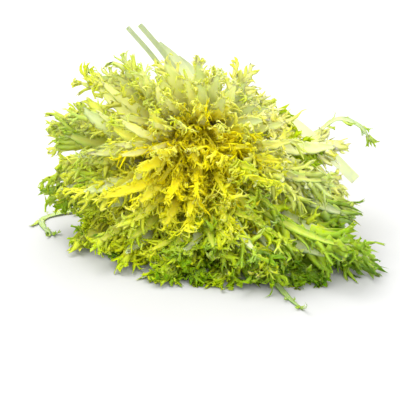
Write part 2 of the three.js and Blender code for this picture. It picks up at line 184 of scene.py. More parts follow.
# ---- The course of each leaf ----
def leaf_rule(k, seed, heart_opening=HEART_OPENING):
    """Leaf k on the spiral, as in the source; a filling leaf has a k between two whole ones."""
    draw = seeded(seed)
    age = ((k + 0.5) / LEAF_COUNT) ** AGE_STEP
    azimuth = math.radians(FIRST_AZIMUTH + k * GOLDEN_ANGLE)
    widest = math.radians(by_hour(OUTER_OPENING, azimuth))
    opening = mix(math.radians(heart_opening), widest, age)
    length = mix(HEART_LENGTH, by_hour(OUTER_LENGTH, azimuth), age**SIZE_GROWTH) * mix(*LENGTH_SPREAD, draw())
    tip_opening = opening + math.radians(mix(*OPENING_SPREAD, draw()))
    swirl = mix(*SWIRL_SPREAD, draw()) * age
    twist = math.radians(mix(*TWIST_SPREAD, draw()))
    ruffle = mix(*RUFFLE_SPREAD, draw())
    ring = RINGS[min(len(RINGS) - 1, int(age * len(RINGS)))]
    return {
        "name": f"{ring}_leaf_{int(k) + 1:02d}",
        "ring": ring,
        "age": age,
        "azimuth": azimuth,
        "outward": outward_at(azimuth),
        "seat": math.radians(OLDEST_SEAT) * math.sqrt(age),
        "length": length,
        "base_opening": math.radians(BASE_OPENING) * age,
        "tip_opening": tip_opening,
        "turns_out": mix(*TURNS_OUT, age),
        "swirl": swirl,
        "droop": DROOP * age,
        "twist": twist,
        "rest": REST_STEP * (1 - age) ** REST_FALL,
        "half": mix(*HALF_WIDTH, age),
        "tip_half": TIP_HALF_WIDTH,
        "thickness": mix(*THICKNESS, age),
        "first": mix(*FIRST_LOBE, age),
        "lobe_length": mix(*LOBE_LENGTH, age**SIZE_GROWTH),
        "ruffle": ruffle,
        "draw": draw,
    }


def routed_leaf(shape, **more):
    azimuth = math.radians(shape["hour"] * DEGREES_AN_HOUR)
    return {
        **shape, **more, "ring": "loose", "age": 1, "azimuth": azimuth, "outward": outward_at(azimuth),
        "seat": math.radians(LOWEST_SEAT), "thickness": LOOSE_THICKNESS, "first": LOOSE_FIRST_LOBE,
        "ruffle": LOOSE_RUFFLE, "draw": seeded(int(shape["hour"] * SEEDS_AN_HOUR)),
    }


def neck_radius(height):
    return mix(STEM["body_radius"], STEM["cut_radius"], smooth(-height / STEM["back"]))


def foot_of(leaf):
    """Where the leaf grows from the stem: its dome in front, or its neck behind that."""
    angle = leaf["seat"]
    if angle > math.pi / 2:
        height = -STEM["body_radius"] * (angle - math.pi / 2)
        radius, rise, lean = neck_radius(height), 0, 1
    else:
        height = STEM["front"] * math.cos(angle)
        radius = STEM["body_radius"] * math.sin(angle)
        rise, lean = unit(np.array([math.cos(angle) / STEM["front"], math.sin(angle) / STEM["body_radius"]]))
    raised = STEM_GAP + leaf["thickness"] / 2
    return CROWN + HEAD_AXIS * (height + rise * raised) + leaf["outward"] * (radius + lean * raised)


def spun(v, axis, angle):
    cos, sin = math.cos(angle), math.sin(angle)
    return v * cos + np.cross(axis, v) * sin + axis * axis.dot(v) * (1 - cos)


def spiral_rib(leaf):
    """The midrib's points, directions and inner faces, from foot to tip."""
    outward, point = leaf["outward"], foot_of(leaf)
    aside = np.cross(HEAD_AXIS, outward)
    rows = []
    for i in range(RIB_STEPS + 1):
        s = i / RIB_STEPS
        opened = mix(leaf["base_opening"], leaf["tip_opening"], smooth(s) ** leaf["turns_out"])
        direction = unit(HEAD_AXIS * math.cos(opened) + outward * math.sin(opened)
                         + aside * leaf["swirl"] * s * s - UP * leaf["droop"] * s * s)
        clearance = min(1, max(0, (point[2] - leaf["rest"] * s) / GLIDE_ZONE))
        if direction[2] < 0:
            direction[2] *= clearance
            direction = unit(direction)
        facing = spun(HEAD_AXIS * math.sin(opened) - outward * math.cos(opened), direction, leaf["twist"] * s)
        rows.append((point, direction, unit(facing - direction * facing.dot(direction))))
        point = point + direction * leaf["length"] / RIB_STEPS
    return [np.array(column) for column in zip(*rows)]


def between(p, q, start, end, t):
    return (end - t) / (end - start) * p + (t - start) / (end - start) * q


def even_points(points, count):
    """A centripetal Catmull-Rom curve through the points, at even steps, and its length."""
    points = [np.array(p, float) for p in points]
    points = [2 * points[0] - points[1]] + points + [2 * points[-1] - points[-2]]
    fine = []
    for p0, p1, p2, p3 in zip(points, points[1:], points[2:], points[3:]):
        t1 = np.linalg.norm(p1 - p0) ** CENTRIPETAL
        t2 = t1 + np.linalg.norm(p2 - p1) ** CENTRIPETAL
        t3 = t2 + np.linalg.norm(p3 - p2) ** CENTRIPETAL
        for t in np.linspace(t1, t2, CURVE_STEPS, endpoint=False):
            a1 = between(p0, p1, 0, t1, t)
            a2 = between(p1, p2, t1, t2, t)
            a3 = between(p2, p3, t2, t3, t)
            fine.append(between(between(a1, a2, 0, t2, t), between(a2, a3, t1, t3, t), t1, t2, t))
    fine = np.array(fine + [points[-2]])
    run = np.concatenate([[0], np.cumsum(np.linalg.norm(np.diff(fine, axis=0), axis=1))])
    at = np.linspace(0, run[-1], count)
    return np.stack([np.interp(at, run, fine[:, i]) for i in range(3)], 1), run[-1]


def routed_rib(leaf):
    """As spiral_rib, along the leaf's own route; it also gives the leaf its length."""
    points, leaf["length"] = even_points([foot_of(leaf)] + leaf["route"], RIB_STEPS + 1)
    direction = unit(np.gradient(points, axis=0))
    s = np.linspace(0, 1, RIB_STEPS + 1)
    turned_share = smooth(np.minimum(1, s / FACING_TURNED))[:, None]
    facing = mix(-leaf["outward"], np.array(leaf["facing"], float), turned_share)
    return [points, direction, unit(facing - direction * (facing * direction).sum(1, keepdims=True))]


# ---- The shape of a lobe, flat: u runs along it, v across it to the left ----
FLARE = 1.5  # how broad a lobe's foot and its forks are, in shares of its width
LOBE_BEND = (-0.35, 0.35)
FORKED_STOPS = (0.25, 0.5, 0.75, 1)
POINTED_STOPS = (0.3, 0.6, 0.85, 1)
STALK_SHARE = (0.42, 0.55)  # how much of a lobe lies before its fork
NARROWS = 1.6
POINTS = 1.6
FIRST_TOOTH = 0.3
TOOTH_SIZE = (0.1, 0.22)
TOOTH_LEAN = (0.3, 0.8)
TOOTH_DEPTH = 0.6
FORK_STEP = 0.1
FORK_SPREAD = (0.15, 0.5)
FORK_CHANCE = 0.6  # that a fork's arm forks again
FORK_BEND = (0, 1.2)
FORK_LENGTH = (0.75, 1.1)
FORKED_WIDTH = 0.8
POINTED_WIDTH = 0.55


class Frond:
    """Triangles over points (u, v), each with its depth h: 0 on the outline, 1 along the middle."""

    def __init__(self, rng, forks, teeth, width):
        self.points, self.triangles = [], []
        self.rng, self.teeth = rng, teeth
        base = [self.add(0, width * FLARE, 0), self.add(0, 0, 1), self.add(0, -width * FLARE, 0)]
        self.base = list(base)
        self.branch(base, 0, 0, 0, rng.uniform(*LOBE_BEND), 1.0, width * FLARE, width, forks)
        self.points = np.array(self.points)
        self.triangles = np.array(self.triangles)
        self.points[:, 0] /= self.points[:, 0].max()

    def add(self, u, v, h):
        self.points.append((u, v, h))
        return len(self.points) - 1

    def tooth(self, a, b, side, angle, size):
        pa, pb = np.array(self.points[a][:2]), np.array(self.points[b][:2])
        lean = angle + side * self.rng.uniform(*TOOTH_LEAN)
        tip = pb + size * np.array([math.cos(lean), math.sin(lean)])
        middle = (pa + pb + tip) / 3
        t, m = self.add(*tip, 0), self.add(*middle, TOOTH_DEPTH)
        ring = (a, b, t) if side > 0 else (b, a, t)
        for i in range(3):
            self.triangles.append((ring[i], ring[(i + 1) % 3], m))

    def branch(self, base, x, y, angle, bend, length, width, end_width, forks):
        """A ribbon from its base edge, with teeth on its edges, that forks or ends in a tip."""
        rng = self.rng
        left, centre, right = base
        stops = FORKED_STOPS if forks else POINTED_STOPS
        reach = length * (rng.uniform(*STALK_SHARE) if forks else 1)
        for before, t in zip((0,) + stops, stops):
            angle += bend * (t - before)
            x += math.cos(angle) * reach * (t - before)
            y += math.sin(angle) * reach * (t - before)
            if t == 1 and not forks:
                tip = self.add(x, y, 0)
                self.triangles += [(centre, tip, left), (right, tip, centre)]
                return
            w = mix(width, end_width, smooth(min(1, t * NARROWS))) if forks else width * (1 - t**POINTS)
            nx, ny = -math.sin(angle) * w, math.cos(angle) * w
            l, c, r = self.add(x + nx, y + ny, 0), self.add(x, y, 1), self.add(x - nx, y - ny, 0)
            self.triangles += [(centre, c, l), (centre, l, left), (right, r, c), (right, c, centre)]
            for a, b, side in ((left, l, 1), (right, r, -1)):
                if t > FIRST_TOOTH and rng.random() < self.teeth:
                    self.tooth(a, b, side, angle, length * rng.uniform(*TOOTH_SIZE))
            left, centre, right = l, c, r
        self.fork((left, centre, right), x, y, angle, length, reach, end_width, forks)

    def fork(self, base, x, y, angle, length, reach, end_width, forks):
        """Parts a ribbon's end in two arms, each a branch of its own."""
        rng = self.rng
        left, centre, right = base
        step = length * FORK_STEP
        w = end_width * FLARE
        x += math.cos(angle) * step
        y += math.sin(angle) * step
        dx, dy = -math.sin(angle) * w, math.cos(angle) * w
        l, ml = self.add(x + dx, y + dy, 0), self.add(x + dx / 2, y + dy / 2, 1)
        c = self.add(x, y, 0)
        mr, r = self.add(x - dx / 2, y - dy / 2, 1), self.add(x - dx, y - dy, 0)
        self.triangles += [(centre, c, ml), (centre, ml, left), (left, ml, l)]
        self.triangles += [(centre, mr, c), (centre, right, mr), (right, r, mr)]
        rest = length - reach - step
        for side, edge in ((1, (l, ml, c)), (-1, (c, mr, r))):
            spread = side * rng.uniform(*FORK_SPREAD)
            more = forks - 1 if rng.random() < FORK_CHANCE else 0
            bend = -spread * rng.uniform(*FORK_BEND)
            self.branch(edge, x + side * dx / 2, y + side * dy / 2, angle + spread, bend,
                        rest * rng.uniform(*FORK_LENGTH), w / 2,
                        end_width * (FORKED_WIDTH if more else POINTED_WIDTH), more)

    def solid(self):
        """Indices of the upper face's points and of the lower face's own, and the closed triangles."""
        h = self.points[:, 2]
        inner = np.flatnonzero(h > 0)
        lower = np.arange(len(h))
        lower[inner] = len(h) + np.arange(len(inner))
        flipped = lower[self.triangles][:, ::-1]
        left, centre, right = self.base
        ends = [(centre, left, lower[centre]), (right, centre, lower[centre])]
        return inner, np.concatenate([self.triangles, flipped, ends])


# The kinds of lobe: a seed, forks, the share of edges with teeth, half the width in shares of the length, the
# number of shapes, and how often they come in the heart and on the outer leaves.
KINDS = {
    "frill": (11, 1, 0.2, 0.055, 4, 1.2, 0.5),
    "plain": (12, 0, 0.35, 0.070, 3, 0.8, 0.5),
    "thread": (14, 0, 0.1, 0.035, 2, 1.0, 0.5),
    "antler": (15, 2, 0.3, 0.085, 5, 0.2, 1.2),
    "toothed": (16, 0, 0.5, 0.110, 2, 0.2, 0.5),
}


FRONDS, FROND_KINDS, HEART_SHAPES, OUTER_SHAPES = [], [], [], []
for kind, (seed, forks, teeth, width, count, in_heart, on_outer) in KINDS.items():
    shape_rng = np.random.default_rng(seed)
    FRONDS += [Frond(shape_rng, forks, teeth, width) for _ in range(count)]
    FROND_KINDS += [kind] * count
    HEART_SHAPES += [in_heart] * count
    OUTER_SHAPES += [on_outer] * count
HEART_SHAPES, OUTER_SHAPES = np.array(HEART_SHAPES), np.array(OUTER_SHAPES)
THREADS = [i for i, kind in enumerate(FROND_KINDS) if kind == "thread"]


# ---- How lobes bend, and how they are coloured from foot to tip ----
CURL_STEPS = 9
CURL_GROWTH = 1.9  # lobes curl ever more towards their tips
SPLIT_RISE = (1.4, 0.3)
FRILL_HEIGHT = 0.1
FRILL_ACROSS = 0.9
FRILL_ALONG = 7
TIP_THINNING = 0.6
TINT_RISE = 0.8
PALE_FALL = 1.3
PALE_MIDDLE = (0.55, 0.45)
LOWEST = 0.3  # how near the surface the leaves come
SOFTNESS = 1.2
UNTOUCHED = 20


def linked(name, data):
    made = bpy.data.objects.new(name, data)
    bpy.context.scene.collection.objects.link(made)
    return made


class Growth:
    """The points, triangles and looks of one piece, gathered as it grows."""

    def __init__(self):
        self.points, self.triangles, self.looks, self.count = [], [], [], 0

    def add(self, points, triangles, looks):
        self.points.append(points)
        self.triangles.append(triangles + self.count)
        self.looks.append(looks)
        self.count += len(points)

    def object(self, name, material):
        points = (np.concatenate(self.points) + SHIFT) * MM
        triangles = np.concatenate(self.triangles)
        looks = np.concatenate(self.looks)
        mesh = bpy.data.meshes.new(name)
        mesh.vertices.add(len(points))
        mesh.vertices.foreach_set("co", points.astype(np.float32).ravel())
        mesh.loops.add(triangles.size)
        mesh.loops.foreach_set("vertex_index", triangles.astype(np.int32).ravel())
        mesh.polygons.add(len(triangles))
        mesh.polygons.foreach_set("loop_start", np.arange(0, triangles.size, 3, dtype=np.int32))
        mesh.polygons.foreach_set("use_smooth", np.ones(len(triangles), bool))
        mesh.update(calc_edges=True)
        attribute = mesh.attributes.new("leaf", "FLOAT_VECTOR", "POINT")
        attribute.data.foreach_set("vector", looks.astype(np.float32).ravel())
        mesh.materials.append(material)
        return linked(name, mesh)


def lie(points):
    """Lifts what would go below the surface, gently, and keeps its order."""
    z = (points[..., 2] - LOWEST) / SOFTNESS
    lifted = np.log1p(np.exp(np.minimum(z, UNTOUCHED)))
    points[..., 2] = LOWEST + SOFTNESS * np.where(z > UNTOUCHED, z, lifted)
    return points


def turned(a, b, angle):
    """Two vectors at right angles, the first turned towards the second, which turns with it."""
    cos, sin = np.cos(angle)[:, None], np.sin(angle)[:, None]
    return a * cos + b * sin, b * cos - a * sin


def lobe_courses(lobes):
    """Each lobe's points, normals and left sides at every step along it."""
    point = lobes["root"].copy()
    along, normal = unit(lobes["along"]), lobes["normal"]
    normal = unit(normal - along * (normal * along).sum(1, keepdims=True))
    left = np.cross(normal, along)
    weights = (np.arange(CURL_STEPS) + 0.5) ** CURL_GROWTH
    weights /= weights.sum()
    courses = [(point.copy(), normal, left)]
    for weight in weights:
        along, normal = turned(along, normal, lobes["curl"] * weight)
        along, left = turned(along, left, lobes["bend"] * weight)
        normal, left = turned(normal, left, lobes["twist"] * weight)
        point = point + along * lobes["length"][:, None] / CURL_STEPS
        courses.append((point.copy(), normal, left))
    return [np.stack(column, 1) for column in zip(*courses)]


def grow_lobes(growth, frond, lobes):
    """All the lobes of one flat shape: each is bent along its own course."""
    u, v, h = frond.points.T
    at = np.clip(u, 0, 1) * CURL_STEPS
    i = np.minimum(at.astype(int), CURL_STEPS - 1)
    f = (at - i)[None, :, None]
    p, n, b = (x[:, i] * (1 - f) + x[:, i + 1] * f for x in lobe_courses(lobes))
    across = v[None, :] * lobes["length"][:, None] * lobes["width"][:, None]
    parted = smooth(np.clip(u * SPLIT_RISE[0] - SPLIT_RISE[1], 0, 1))
    wave = lobes["split"][:, None] * across * parted[None, :]
    ripple = np.sin(across * FRILL_ACROSS + u * FRILL_ALONG + lobes["phase"][:, None])
    wave = wave + FRILL_HEIGHT * lobes["length"][:, None] * ripple * u**2
    middle = p + b * across[..., None] + n * wave[..., None]
    depth = n * (lobes["thickness"][:, None] / 2 * h * (1 - TIP_THINNING * u))[..., None]
    inner, triangles = frond.solid()
    points = lie(np.concatenate([middle + depth, (middle - depth)[:, inner]], 1))
    shared = np.concatenate([np.arange(len(u)), inner])
    u, h = u[shared], h[shared]
    tint = lobes["tint"][:, None] + (lobes["tip_tint"] - lobes["tint"])[:, None] * u**TINT_RISE
    foot_pale = lobes["pale"][:, None] * (1 - u) ** PALE_FALL * gain(PALE_MIDDLE, h)
    # Paler towards the tip: partly the lobe's own colour, partly a painted highlight
    pale = foot_pale + lobes["tip_pale_and_highlight"][:, None] * u
    # Gold at the lobe's foot: partly its own yellow, partly painted glow
    gold = lobes["gold"][:, None] * (1 - u)
    looks = np.stack([tint, pale, gold], -1)
    offsets = (np.arange(len(lobes["root"])) * len(shared))[:, None, None]
    growth.add(points.reshape(-1, 3), (triangles[None] + offsets).reshape(-1, 3), looks.reshape(-1, 3))


# ---- The blade: a midrib with a thin web on each side ----
# Its columns from the left edge to the right: how far out each is, in shares of the rib and of the web beside
# it, and how high its upper and lower faces are, in shares of the thickness.
RIB_SHARE = np.array([-1, -1, -0.95, 0, 0.95, 1, 1])
WEB_SHARE = np.array([-1, -0.5, 0, 0, 0, 0.5, 1])
UPPER = np.array([0, 0.5, 0.5, -0.1, 0.5, 0.5, 0])
LOWER = np.array([0, -0.5, -0.5, -0.7, -0.5, -0.5, 0])
FOOT_WIDTH = 0.5
FOOT_END = 0.14
TAPER = 0.7
WEB_START = 0.1
WEB_RISE = 0.35
WEB_END = 4.5
RIB_END = 8
LEAST_END = 0.02
WEB_THICKNESS = 0.6
TIP_THICKNESS = 0.7
THIN_BY = 1.5
FOOT_CUP = 0.4
CUP_FALL = 1.5
CUP_EASE = 0.1
RUFFLE_LENGTH = 15
RUFFLE_RATIO = 0.9  # the right edge's ruffles beside the left edge's
RUFFLE_PHASES = 6
RUFFLE_OUT = 0.2
RUFFLE_UP = 0.35
RUFFLE_RISE = 1.5
EDGE_TINT = 1.2
FOOT_TINT = (0.4, 0.6)
GOLD_AND_GLOW_END = 0.55
GOLD_AND_GLOW_FALL = 1.2
PALE_ON_GOLD_AND_GLOW = 0.5
BLADE_FADE = 0.25
RIM_BREADTH = 1.5


def at_rib(rib, s):
    """The rib's point, direction and face at each s."""
    at = np.clip(np.asarray(s), 0, 1) * RIB_STEPS
    i = np.minimum(at.astype(int), RIB_STEPS - 1)
    f = at - i
    point, direction, face = (c[i] * (1 - f[:, None]) + c[i + 1] * f[:, None] for c in rib)
    return point, unit(direction), unit(face)


def half_width(leaf, s):
    foot = mix(FOOT_WIDTH, 1, smooth(np.minimum(1, s / FOOT_END)))
    return mix(leaf["half"], leaf["tip_half"], s**TAPER) * foot


def web_width(leaf, s):
    """The thin blade beside the rib: none on the petiole's foot, broadest half way, gone at the tip."""
    rise = smooth(np.clip((s - WEB_START) / WEB_RISE, 0, 1))
    return leaf["web"] * rise * np.sqrt(np.clip((1 - s) * WEB_END, LEAST_END, 1))


def cupped(leaf, s, out):
    """How far the blade's edges rise towards its inner face."""
    return (FOOT_CUP * (1 - s) ** CUP_FALL + leaf["cup"]) * np.abs(out)


def tube_triangles(rings, sides):
    """The closed surface over rings of points, with a fan over each end."""
    i, j = np.meshgrid(np.arange(rings - 1), np.arange(sides), indexing="ij")
    a, b = i * sides + j, i * sides + (j + 1) % sides
    fan = np.arange(1, sides - 1)
    zero = np.zeros_like(fan)
    last = (rings - 1) * sides
    return np.concatenate([np.stack([a, a + sides, b], -1).reshape(-1, 3),
                           np.stack([b, a + sides, b + sides], -1).reshape(-1, 3),
                           np.stack([zero, fan, fan + 1], -1),
                           np.stack([zero + last, fan + 1 + last, fan + last], -1)])


def blade_looks(leaf, s, web_share):
    """The tint, paleness and gold of the blade's points; the gold is partly the feet's own yellow, partly
    painted glow of light shining through the heart.
    """
    strap = "strap" in leaf
    edge = np.abs(web_share) * (not strap)
    tint = mix(leaf["rib_tint"], leaf["lobe_tint"] * EDGE_TINT, edge) * gain(FOOT_TINT, s)[:, None]
    rise = mix(1 - leaf["gold"], 1, smooth(np.clip(s / GOLD_AND_GLOW_END, 0, 1)))
    fade = 0 if strap else BLADE_FADE
    rim = 1 - np.minimum(1, RIM_BREADTH * edge) * leaf["rim"]
    pale = (leaf["pale"] * rise * (1 - fade * s))[:, None] * rim
    gold = (leaf["gold"] * (1 - s) ** GOLD_AND_GLOW_FALL)[:, None] * (1 - PALE_ON_GOLD_AND_GLOW * pale)
    return np.stack([tint, pale, gold], -1)


def grow_blade(growth, leaf, rib, rng):
    """The midrib with its web: a closed strip, channelled in the middle and ruffled at its edges."""
    s = np.linspace(0, 1, leaf["steps"] + 1)
    point, direction, face = at_rib(rib, s)
    across = np.cross(face, direction)
    half = half_width(leaf, s) * leaf["broad"]
    web = web_width(leaf, s)
    if "strap" not in leaf:
        half = half * np.sqrt(np.clip((1 - s) * RIB_END, LEAST_END, 1))
    last = len(UPPER) - 1
    columns = np.concatenate([np.arange(last + 1), np.arange(last - 1, 0, -1)])
    heights = np.concatenate([UPPER, LOWER[last - 1:0:-1]])
    rib_share, web_share = RIB_SHARE[columns], WEB_SHARE[columns]
    phase = s * leaf["length"] * 2 * math.pi / RUFFLE_LENGTH
    left_wave = np.sin(phase + rng.uniform(0, RUFFLE_PHASES))[:, None]
    right_wave = np.sin(phase * RUFFLE_RATIO + rng.uniform(0, RUFFLE_PHASES))[:, None]
    waves = np.where(rib_share < 0, left_wave, right_wave)
    out = half[:, None] * rib_share + web[:, None] * web_share * (1 + RUFFLE_OUT * waves)
    rib_thickness = mix(leaf["thickness"], TIP_THICKNESS, np.minimum(1, s * THIN_BY))
    thickness = mix(np.maximum(TIP_THICKNESS, rib_thickness)[:, None], WEB_THICKNESS, np.abs(web_share))
    cup = cupped(leaf, s[:, None], out) * np.abs(out) / (half + web + CUP_EASE)[:, None]
    lift = thickness * heights + cup
    lift = lift + RUFFLE_UP * web[:, None] * np.abs(web_share) ** RUFFLE_RISE * np.roll(waves, 1, 0)
    points = lie(point[:, None] + across[:, None] * out[..., None] + face[:, None] * lift[..., None])
    looks = blade_looks(leaf, s, web_share)
    growth.add(points.reshape(-1, 3), tube_triangles(len(s), len(columns)), looks.reshape(-1, 3))


# ---- The lobes of a leaf: pairs up its sides and three at its tip; angles are in degrees ----
PLACE_SPREAD = 0.3
LAST_PAIR = 0.97
TIP_PLACES = [1.02, 1.0, 1.0]
TIP_LEAN = [4, 30, -26]
TIP_SIDES = [1.0, 1.0, 1.0]
TIP_LOBES = len(TIP_PLACES)
TIP_SHARE = 0.8
LEAN = (46, 16)  # from the lowest pair to the highest, as LENGTHEN
LEAN_SPREAD = 12
WILD_LEAN = 0.9
ENVELOPE = (0.16, 0.62)
ENVELOPE_POWER = 0.8
LENGTH_DRAW = (0.35, 1.5)
LENGTHEN = (0.55, 1.15)
PAST_TIP = (8, 18)  # how far lobes may reach past the leaf's tip
LONGEST_LOBE = 40
WIDEST_LOBE = 38  # its width in shares of its shape's own, times its length
LIFTED_CHANCE = 0.35
LIFT_UP = 12
LIFT_DOWN = -18
LIFT_SPREAD = 10
WILD_LIFT = (0.35, 0.7)
RIB_ROOT = 0.6
WEB_ROOT = 0.75
ROOT_RISE = 0.9
CLEAR = 0.5  # above the surface, where lobes point down no more
STEEPEST = 0.9
LOBE_TILT = 0.25
WIDTH_DRAW = (0.85, 1.3)
CURLED_CHANCE = 0.4
CURLED = (1.2, 3.8)
UNCURLED = (0.4, 0.7)
BEND_SPREAD = 0.5
TWIST_DRAW = 0.6
SPLIT_SPREAD = 0.7
PHASES = 6.28
LOBE_THICKNESS = 0.75
GREEN_RISE = (0.45, 0.55)
FOOT_GREEN = 0.7
TIP_GREEN = (0.75, 1.3)
THREAD_LENGTH = 1.4
THREAD_CURL = (1.5, 4.5)


def grow_leaf(growth, leaf, rng):
    rib = routed_rib(leaf) if "route" in leaf else spiral_rib(leaf)
    grow_blade(growth, leaf, rib, rng)
    if "strap" in leaf:
        return
    pairs = leaf["pairs"]
    placed_at = np.repeat(np.arange(pairs), 2) + 0.5 + rng.uniform(-PLACE_SPREAD, PLACE_SPREAD, pairs * 2)
    t = placed_at / pairs
    lean = np.radians(mix(*LEAN, t) + rng.uniform(-LEAN_SPREAD, LEAN_SPREAD, t.size))
    t = np.concatenate([t, TIP_PLACES])
    n = t.size
    up = np.minimum(t, 1)
    s = leaf["first"] + (LAST_PAIR - leaf["first"]) * up
    lean = np.concatenate([lean, np.radians(TIP_LEAN)]) + rng.normal(0, WILD_LEAN * leaf["wild"], n)
    side = np.concatenate([np.tile([1.0, -1.0], pairs), TIP_SIDES])
    point, direction, face = at_rib(rib, s)
    across = np.cross(face, direction)
    envelope = np.sin(np.pi * gain(ENVELOPE, up)) ** ENVELOPE_POWER
    envelope[-TIP_LOBES:] = TIP_SHARE
    length = leaf["reach"] * leaf["lobe_length"] * envelope * rng.uniform(*LENGTH_DRAW, n)
    length = length * mix(*LENGTHEN, up)
    room = (1 - s) * leaf["length"] + rng.uniform(*PAST_TIP, n)
    length = np.minimum(np.minimum(length, room), LONGEST_LOBE)
    lifted = np.where(rng.random(n) < LIFTED_CHANCE, LIFT_UP, LIFT_DOWN)
    lift = np.radians(leaf["ruffle"] * lifted + rng.uniform(-LIFT_SPREAD, LIFT_SPREAD, n))
    lift = lift + rng.normal(WILD_LIFT[0] * leaf["wild"], WILD_LIFT[1] * leaf["wild"], n)
    flat = direction * np.cos(lean)[:, None] + across * (side * np.sin(lean))[:, None]
    along = unit(flat * np.cos(lift)[:, None] + face * np.sin(lift)[:, None] - UP * leaf["hang"])
    out = half_width(leaf, s) * leaf["broad"] * RIB_ROOT + web_width(leaf, s) * WEB_ROOT
    root = point + across * (side * out)[:, None] + face * (cupped(leaf, s, out) * ROOT_RISE)[:, None]
    root[-TIP_LOBES:] = point[-TIP_LOBES:]
    lowest = -np.maximum(root[:, 2] - CLEAR, 0) / length * STEEPEST
    along[:, 2] = np.maximum(along[:, 2], lowest)
    green = leaf["lobe_tint"] * gain(GREEN_RISE, smooth(up))
    width = np.minimum(rng.uniform(*WIDTH_DRAW, n) * leaf["lobe_width"], WIDEST_LOBE / length)
    curl = np.where(rng.random(n) < CURLED_CHANCE, rng.uniform(*CURLED, n), rng.normal(*UNCURLED, n))
    lobes = {
        "root": root,
        "along": along,
        "normal": face - across * (side * LOBE_TILT)[:, None],
        "length": length,
        "width": width,
        "curl": curl * leaf["curl"],
        "bend": rng.normal(0, BEND_SPREAD, n) * leaf["curl"],
        "twist": rng.normal(0, TWIST_DRAW, n) * leaf["curl"],
        "split": rng.uniform(-SPLIT_SPREAD, SPLIT_SPREAD, n),
        "phase": rng.uniform(0, PHASES, n),
        "thickness": np.full(n, LOBE_THICKNESS),
        "tint": green * FOOT_GREEN,
        "tip_tint": np.minimum(1, green * rng.uniform(*TIP_GREEN, n)),
        "pale": np.full(n, leaf["lobe_pale"]),
        "tip_pale_and_highlight": np.full(n, leaf["tip_pale_and_highlight"]) * rng.uniform(0, 1, n),
        "gold": leaf["gold"] * (1 - s) ** GOLD_AND_GLOW_FALL,
    }
    which = rng.choice(len(FRONDS), n, p=leaf["shapes"])
    threads = np.isin(which, THREADS)
    lobes["length"][threads] *= THREAD_LENGTH
    lobes["curl"][threads] = rng.uniform(*THREAD_CURL, threads.sum())
    for k, frond in enumerate(FRONDS):
        chosen = which == k
        if chosen.any():
            grow_lobes(growth, frond, {key: value[chosen] for key, value in lobes.items()})


# ---- How each leaf looks, by its age from 0 to 1 and its side of the head ----
# These tables go by the hour of the clock, from 12, as seen from in front.
GREEN = [0.30, 0.24, 0.24, 0.32, 0.92, 1.0, 0.82, 0.74, 0.68, 0.62, 0.45, 0.35]  # how green outer leaves are
PALE = [0.95, 1.0, 1.0, 0.95, 0.12, 0.1, 0.1, 0.12, 0.28, 0.42, 0.8, 0.95]  # how pale and broad ribs are
BARE = [0.95, 1.0, 1.0, 1.0, 0.3, 0.2, 0.1, 0.45, 0.6, 0.65, 0.8, 0.95]  # how few lobes they have
FIRST = [0.2, 0.4, 0.45, 0.42, 0.1, 0.05, 0.05, 0.2, 0.2, 0.18, 0.1, 0.1]  # how much higher their lobes begin
LOOPS = [0.6, 0.2, 0, -0.2, -0.45, -0.3, 0, 0, 0.2, 0.5, 1, 1]  # how much more their lobes curl
REACH = [0.5, 0.5, 0.65, 0.9, 1.35, 1.25, 1.0, 0.75, 0.75, 0.8, 0.7, 0.6]  # how long their lobes are
WIDTH = [0.7, 0.9, 1.1, 1.1, 1.1, 1.1, 1.1, 1, 0.9, 0.75, 0.6, 0.6]  # how wide their lobes are
TIP_PALE_AND_HIGHLIGHT = [0.6, 0.65, 0.9, 0.8, 0.1, 0, 0, 0, 0.05, 0.15, 0.35, 0.5]  # how pale their lobes' tips are: partly their own colour, partly a painted highlight where the tips catch the light
WEB = [4, 4, 4, 4, 4, 4, 4.5, 5.5, 5.5, 5.5, 5, 4]  # how broad their webs are
YOUNG_WEB = [2.5, 2.5, 2.2, 1.4, 0.8, 0.8, 0.9, 1.6, 3, 3.2, 2.8, 2.6]
YOUNG_GREEN = [0.1, 0.08, 0.2, 0.38, 0.45, 0.26, 0.08, 0.05, 0.15, 0.24, 0.22, 0.14]
GOLD_AND_GLOW = [0.5, 0.4, 0.3, 0.25, 0.2, 0.25, 0.4, 0.7, 0.95, 0.9, 0.65, 0.5]  # how golden leaves are at their feet: partly their own yellow, partly painted glow of light shining through the heart
INNER = [0.55, 0.7, 0.4, 0.1, 0.15, 1, 1, 1, 1, 1, 0.8, 0.6]  # how like outer leaves the inner ones are
FILL_LENGTH = [0.7, 0.95, 1, 1.08, 0.97, 1, 1, 1, 0.97, 1, 1.08, 0.8]  # of the oldest filling leaves
MIDDLE_LENGTH = [0.7, 0.95, 1, 1.12, 1.12, 1.05, 1, 1, 1, 1.05, 1.1, 0.8]  # of those under MIDDLE_AGE
MIDDLE_AGE = 0.82
INNER_AGE = 0.4
INNER_FADE = 0.2
YOUNG_AGE = 0.3
WILD_FIRST = 0.15  # how much lower the lobes of wild young leaves begin
LEAST_TINT = 0.02
PALE_TINT = 0.15
TINT_GROWTH = 1.1
RIB_TINT = 0.6
PALE_POWER = 1.5
PALE_GROWTH = 0.8
YOUNG_RIB_PALE = (0.1, 0.5)
OLD_RIB_PALE = (0.2, 1)
YOUNG_LOBE_PALE = (0.03, 0.57)
OLD_LOBE_PALE = (0.06, 0.8)
LOBE_EXTRA_TINT = 0.2
LOBE_EXTRA_AGE = (1, 0.5)
YOUNG_GOLD_AND_GLOW = (0.3, 0.7)
YOUNG_NARROWER = 0.45
OLD_BROADER = 0.35
BROAD_GROWTH = 0.7
FILL_BROAD = 0.8
WEB_GROWTH = 0.9
YOUNG_REACH = 0.8
BARE_REACH = 0.4
YOUNG_LOBE_WIDTH = 1.1
OLD_LOBE_WIDTH = 1.6
LOBE_WIDTH_GROWTH = 0.6
BARE_PAIRS = 0.6
